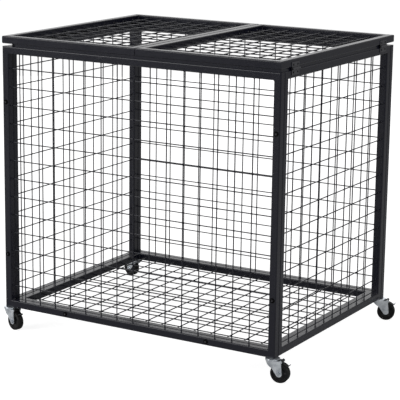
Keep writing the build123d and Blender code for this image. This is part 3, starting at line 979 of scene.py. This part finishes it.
@dataclass(frozen=True)
class Caster:
    """A swivel caster: softened fork, ribbed wheel and a brake pedal with its tab."""

    name: str
    paint: Paint
    wheel_radius: float = 25 * MILLIMETRE
    bore_radius: float = 3.1 * MILLIMETRE
    spokes: int = 6
    rib_height: float = 2.0 * MILLIMETRE
    wheel_sides: int = 72
    pivot: tuple[float, float] = (4 * MILLIMETRE, 31 * MILLIMETRE)
    shoe_radius: float = 27.3 * MILLIMETRE
    shoe_start_deg: float = 79.0
    shoe_end_deg: float = 45.0
    toe_length: float = 7.3 * MILLIMETRE
    toe_deg: float = 35.0
    sheet: float = 1.8 * MILLIMETRE
    pedal_width: float = 17 * MILLIMETRE
    toe_taper: float = 0.16
    grip_height: float = 0.35 * MILLIMETRE
    grip_from: float = 0.7
    heel_radius: float = 3.6 * MILLIMETRE
    heel_edge: float = 0.5 * MILLIMETRE
    heel_sides: int = 28
    pin_radius: float = 1.6 * MILLIMETRE
    tab_width: float = 12 * MILLIMETRE
    tab_sheet: float = 1.1 * MILLIMETRE
    tab_reach: float = 1.2 * MILLIMETRE
    tab_lift: float = 0.9 * MILLIMETRE
    rounding: float = 0.35 * MILLIMETRE

    def axle(self) -> tuple[Array, Array, Array]:
        """Read the axle from the wheel's joint.

        Returns:
            Its middle, its direction and the direction that the wheel trails.
        """
        spin = next(j for j in frame["joints"] if j["name"] == f"{self.name}_wheel_spin")
        across = np.array(spin["axis"], float)
        return np.array(spin["pos_m"], float), across, np.cross(across, [0, 0, 1.0])

    def build(self) -> None:
        """Make the caster's pieces and dress the solids that stay."""
        swivel = f"{self.name}_swivel"
        for node in ("fork", "axle", "axle_nut"):
            piece = softened(f"{self.name}_{node}", f"{self.name}_{node}_rounded", self.rounding)
            self.dress(piece, Finish.ZINC, Slot.ZINC, swivel)
        self.paint.on_node(f"{self.name}_pedal_pin", Finish.ZINC)
        wheel = self.wheel()
        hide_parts(f"{self.name}_wheel")
        self.dress(wheel, Finish.RUBBER, Slot.RUBBER, f"{self.name}_wheel")
        pedal = self.pedal()
        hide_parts(f"{self.name}_brake_pedal")
        self.dress(pedal, Finish.PLASTIC, Slot.PLASTIC, f"{self.name}_pedal")
        self.dress(self.toe_tab(), Finish.ZINC, Slot.ZINC, f"{self.name}_pedal")

    def dress(self, piece: bpy.types.Object, finish: Finish, slot: Slot, body: str) -> None:
        """Finish a piece and let it ride on a body.

        Args:
            piece: the object to dress.
            finish: what it is finished in.
            slot: the record's slot; not used.
            body: the body that it moves with.
        """
        self.paint.on(piece, finish)
        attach(piece, body)
        LOG.info("%s rides on %s", piece.name, body)

    def half_profile(self) -> Array:
        """List the wheel's section from the bore to the tread's middle.

        Returns:
            Rows of radius, half width, rib share and wear, with lengths in millimetres.
        """
        bore = self.bore_radius / MILLIMETRE
        outer = self.wheel_radius / MILLIMETRE
        rows = [
            (bore, 10.0, 0, 0), (7.3, 10.0, 0, 0), (7.9, 9.5, 0, 0), (8.2, 6.6, 0.4, 0),
            (9.4, 5.9, 1, 0), (12.5, 5.7, 1, 0), (15.6, 5.9, 1, 0), (17.6, 6.6, 0.4, 0),
            (18.3, 8.2, 0, 0), (19.0, 8.9, 0, 0.1), (21.0, 9.0, 0, 0.1), (22.9, 9.0, 0, 0.2),
            (23.7, 8.7, 0, 0.3), (24.4, 8.0, 0, 0.5), (24.8, 7.3, 0, 0.8), (outer, 6.4, 0, 1),
            (outer, 3.3, 0, 1), (24.3, 3.0, 0, 0.5), (24.3, 2.2, 0, 0.5), (outer, 1.9, 0, 1),
        ]
        return np.array(rows, float)

    def wheel(self) -> bpy.types.Object:
        """Turn the wheel's profile about the axle, with ribs that raise its dished side.

        The side's height is the profile's plus rib height * share * cos(spokes * a / 2)^8.

        Returns:
            The wheel.
        """
        centre, across, _ = self.axle()
        half = self.half_profile()
        mirrored = half[::-1] * [1, -1, 1, 1]
        rows = np.concatenate([half, mirrored, half[:1]])
        turn = np.arange(self.wheel_sides) * 2 * math.pi / self.wheel_sides
        rib = np.cos(self.spokes * turn / 2) ** 8
        rise = np.sign(rows[:, 1:2]) * rows[:, 2:3] * rib * self.rib_height
        first, second = round_axes(across)
        spoke = np.cos(turn)[:, None] * first + np.sin(turn)[:, None] * second
        along = rows[:, 1:2] * MILLIMETRE + rise
        grid = centre + along[..., None] * across + rows[:, :1, None] * MILLIMETRE * spoke
        skin = Skin()
        skin.add(grid, np.broadcast_to(rows[:, 3:4], grid.shape[:2]))
        return skin.piece(f"{self.name}_ribbed_wheel", WHEEL_SHARP_DEG)

    def pedal_path(self) -> Array:
        """Draw the pedal's middle line from its pivot to its toe.

        It runs straight to the shoe, along an arc about the axle, and straight up the toe.

        Returns:
            Pairs ahead of and above the axle.
        """
        turn = np.radians(np.linspace(self.shoe_start_deg, self.shoe_end_deg, 14))
        arc = self.shoe_radius * np.stack([np.cos(turn), np.sin(turn)], -1)
        lean = math.radians(self.toe_deg)
        steps = np.linspace(0.08, 1, 7)[:, None] * self.toe_length
        toe = arc[-1] + steps * [math.cos(lean), math.sin(lean)]
        return np.concatenate([[self.pivot], arc, toe])

    def strip(self, flat: Array, width: Array, height: Array, wear: Array) -> Skin:
        """Carry a rounded section along a line in the caster's side plane.

        Args:
            flat: the line as pairs ahead of and above the axle.
            width: the section's width at each point.
            height: the section's height at each point.
            wear: the attribute "wear" at each point.

        Returns:
            The strip's skin.
        """
        centre, across, ahead = self.axle()
        up = np.array([0, 0, 1.0])
        path = centre + flat[:, :1] * ahead + flat[:, 1:] * up
        slope = np.gradient(flat, axis=0)
        slope /= np.linalg.norm(slope, axis=1, keepdims=True)
        rise = -slope[:, 1:] * ahead + slope[:, :1] * up
        section = rounded_section(width, height)
        skin = Skin()
        ends = np.concatenate([wear[:1], wear, wear[-1:]])
        skin.add(carried(section, path, across, rise), ends[:, None])
        return skin

    def pedal(self) -> bpy.types.Object:
        """Make the pedal: a heel barrel round its pin, a shoe, and a toe with grip ribs.

        Returns:
            The pedal.
        """
        flat = self.pedal_path()
        count = len(flat)
        share = np.linspace(0, 1, count)
        width = self.pedal_width * (1 - self.toe_taper * share**4)
        grip = self.grip_height * (np.arange(count) % 2) * (share > self.grip_from)
        skin = self.strip(flat, width, self.sheet + grip, np.clip(share * 2 - 1, 0, 1))
        centre, across, ahead = self.axle()
        heel = centre + self.pivot[0] * ahead + self.pivot[1] * np.array([0, 0, 1.0])
        half, edge, outer, hole = self.pedal_width / 2, self.heel_edge, self.heel_radius, self.pin_radius
        barrel = [
            (-half, hole), (-half, outer - edge), (edge - half, outer),
            (half - edge, outer), (half, outer - edge), (half, hole), (-half, hole),
        ]
        skin.add(turned(barrel, self.heel_sides, heel, across))
        return skin.piece(f"{self.name}_pedal_shoe")

    def toe_tab(self) -> bpy.types.Object:
        """Make the plated tab that stands out of the pedal's toe.

        Returns:
            The tab.
        """
        flat = self.pedal_path()[-5:]
        lean = math.radians(self.toe_deg)
        tip = flat[-1] + self.tab_reach * np.array([math.cos(lean), math.sin(lean)])
        flat = np.concatenate([flat, [tip]]) + [0, self.tab_lift]
        width = np.full(len(flat), self.tab_width)
        skin = self.strip(flat, width, np.full(len(flat), self.tab_sheet), np.zeros(len(flat)))
        return skin.piece(f"{self.name}_toe_tab")


@dataclass(frozen=True)
class Softbox:
    """A square soft lamp: its name, place, side in metres and power in watts."""

    name: str
    place: tuple[float, float, float]
    size: float
    watts: float


@dataclass(frozen=True)
class Studio:
    """Camera, floor, world and soft lamps, at the photograph's angle."""

    azimuth_deg: float = 30.69
    elevation_deg: float = 12.90
    roll_deg: float = 0.75
    distance: float = 4.4175
    aim: tuple[float, float] = (0.0031, -0.0669)
    aim_height: float = 0.423
    focal_pixels: float = 1607.4
    sensor_mm: float = 36.0
    floor_half: float = 40.0
    world_level: float = 0.4
    softboxes: tuple[Softbox, ...] = (
        Softbox("key_softbox", (-2.0, -2.9, 1.9), 2.2, 56.0),
        Softbox("side_softbox", (2.9, -1.2, 2.9), 2.2, 34.0),
        Softbox("rear_softbox", (-2.1, 3.5, 1.7), 4.0, 32.0),
    )

    def build(self) -> None:
        """Make everything round the cage."""
        self.camera()
        self.floor()
        self.world()
        for softbox in self.softboxes:
            self.lamp(softbox)

    def camera(self) -> None:
        """Place the camera: it looks back along its own axis at a point beside the middle."""
        azimuth, elevation, roll = (
            math.radians(a) for a in (self.azimuth_deg, self.elevation_deg, self.roll_deg)
        )
        back = Vector((
            math.sin(azimuth) * math.cos(elevation),
            -math.cos(azimuth) * math.cos(elevation),
            math.sin(elevation),
        ))
        level = Vector((math.cos(azimuth), math.sin(azimuth), 0))
        upward = back.cross(level)
        right = math.cos(roll) * level + math.sin(roll) * upward
        up = math.cos(roll) * upward - math.sin(roll) * level
        eye = Vector((0, 0, self.aim_height)) + back * self.distance
        eye += level * self.aim[0] + upward * self.aim[1]
        data = bpy.data.cameras.new("camera")
        data.sensor_width = self.sensor_mm
        data.lens = self.focal_pixels * self.sensor_mm / PICTURE_PIXELS
        camera = bpy.data.objects.new("camera", data)
        turn = Matrix((right, up, back)).transposed().to_4x4()
        camera.matrix_world = Matrix.Translation(eye) @ turn
        bpy.context.scene.collection.objects.link(camera)
        bpy.context.scene.camera = camera

    def floor(self) -> None:
        """Lay the floor."""
        half = self.floor_half
        corners = [(-half, -half, 0), (half, -half, 0), (half, half, 0), (-half, half, 0)]
        mesh = bpy.data.meshes.new("studio_floor")
        mesh.from_pydata(corners, [], [(0, 1, 2, 3)])
        floor = bpy.data.objects.new("studio_floor", mesh)
        mesh.materials.append(StudioFloor().material())
        bpy.context.scene.collection.objects.link(floor)

    def world(self) -> None:
        """Light evenly from all round, and show white to the camera."""
        world = bpy.data.worlds.new("studio")
        bpy.context.scene.world = world
        world.use_nodes = True
        nodes, links = world.node_tree.nodes, world.node_tree.links
        nodes.clear()
        path = nodes.new("ShaderNodeLightPath")
        level = nodes.new("ShaderNodeMapRange")
        level.inputs["To Min"].default_value = self.world_level
        level.inputs["To Max"].default_value = 1.0
        links.new(path.outputs["Is Camera Ray"], level.inputs["Value"])
        sky = nodes.new("ShaderNodeBackground")
        sky.inputs["Color"].default_value = (1.0, 1.0, 1.0, 1.0)
        links.new(level.outputs[0], sky.inputs["Strength"])
        out = nodes.new("ShaderNodeOutputWorld")
        links.new(sky.outputs[0], out.inputs["Surface"])

    def lamp(self, softbox: Softbox) -> None:
        """Hang a softbox that faces the middle of the cage.

        Args:
            softbox: the lamp to hang.
        """
        data = bpy.data.lights.new(softbox.name, "AREA")
        data.shape = "SQUARE"
        data.size = softbox.size
        data.energy = softbox.watts
        lamp = bpy.data.objects.new(softbox.name, data)
        lamp.visible_camera = False
        lamp.location = softbox.place
        toward = Vector((0, 0, self.aim_height)) - Vector(softbox.place)
        lamp.rotation_mode = "QUATERNION"
        lamp.rotation_quaternion = toward.to_track_quat("-Z", "Y")
        bpy.context.scene.collection.objects.link(lamp)


@dataclass(frozen=True)
class Cage:
    """The cage's panels, strips, bolts, hinges and casters."""

    paint: Paint
    long_shift: float = -8 * MILLIMETRE
    short_shift: float = 13 * MILLIMETRE
    tube: float = 20 * MILLIMETRE
    bolt_end_inset: float = 150 * MILLIMETRE
    floor_bolt_inset: float = 200 * MILLIMETRE
    race_rounding: float = 0.4 * MILLIMETRE
    plated: tuple[str, ...] = (
        "corner_inserts", "floor_inserts", "caster_sockets", "caster_stems", "caster_ball_rings",
    )

    def build(self) -> None:
        """Build every sub-assembly in order."""
        for panel in Panel:
            WeldedPanel(panel, self.paint, self.shift(panel)).build()
        for side in ("front", "back", "left", "right"):
            self.paint.on_node(f"{side}_lid_rest", Finish.COAT)
        self.bolts()
        for side in ("left", "right"):
            LidHinges(side, self.paint).build()
        for node in self.plated:
            self.paint.on_node(node, Finish.ZINC)
        races = softened("caster_races", "caster_races_rounded", self.race_rounding)
        self.paint.on(races, Finish.ZINC)
        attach(races, "cage")
        for corner in ("front_left", "front_right", "back_left", "back_right"):
            Caster(corner, self.paint).build()

    def shift(self, panel: Panel) -> float:
        """Look up how far a panel's upright wires stand off its middle.

        Args:
            panel: the panel.

        Returns:
            The shift along the panel.
        """
        if panel in (Panel.FRONT, Panel.BACK):
            return self.long_shift
        return self.short_shift if panel in (Panel.LEFT, Panel.RIGHT) else 0.0

    def bolts(self) -> None:
        """Make the corner and floor bolts at their spots on the front frame's outline."""
        low, high = (np.array(corner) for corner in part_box("front_frame"))
        post = high[0] - self.tube / 2
        levels = (low[2] + self.bolt_end_inset, high[2] - self.bolt_end_inset)
        corner_spots = tuple((x, z) for x in (-post, post) for z in levels)
        along = high[0] - self.floor_bolt_inset
        floor_spots = tuple((x, low[2] + self.tube / 2) for x in (-along, along))
        face = -float(low[1])
        SocketBolts("corner_bolts", "corner_socket_bolts", corner_spots, self.paint, face).build()
        SocketBolts("floor_bolts", "floor_socket_bolts", floor_spots, self.paint, face).build()


def main() -> None:
    """Build the studio and the cage."""
    logging.basicConfig(level=logging.INFO, format="%(name)s: %(message)s")
    bpy.context.scene.view_settings.view_transform = "Standard"
    Studio().build()
    Cage(Paint()).build()


if __name__ == "__main__":
    main()
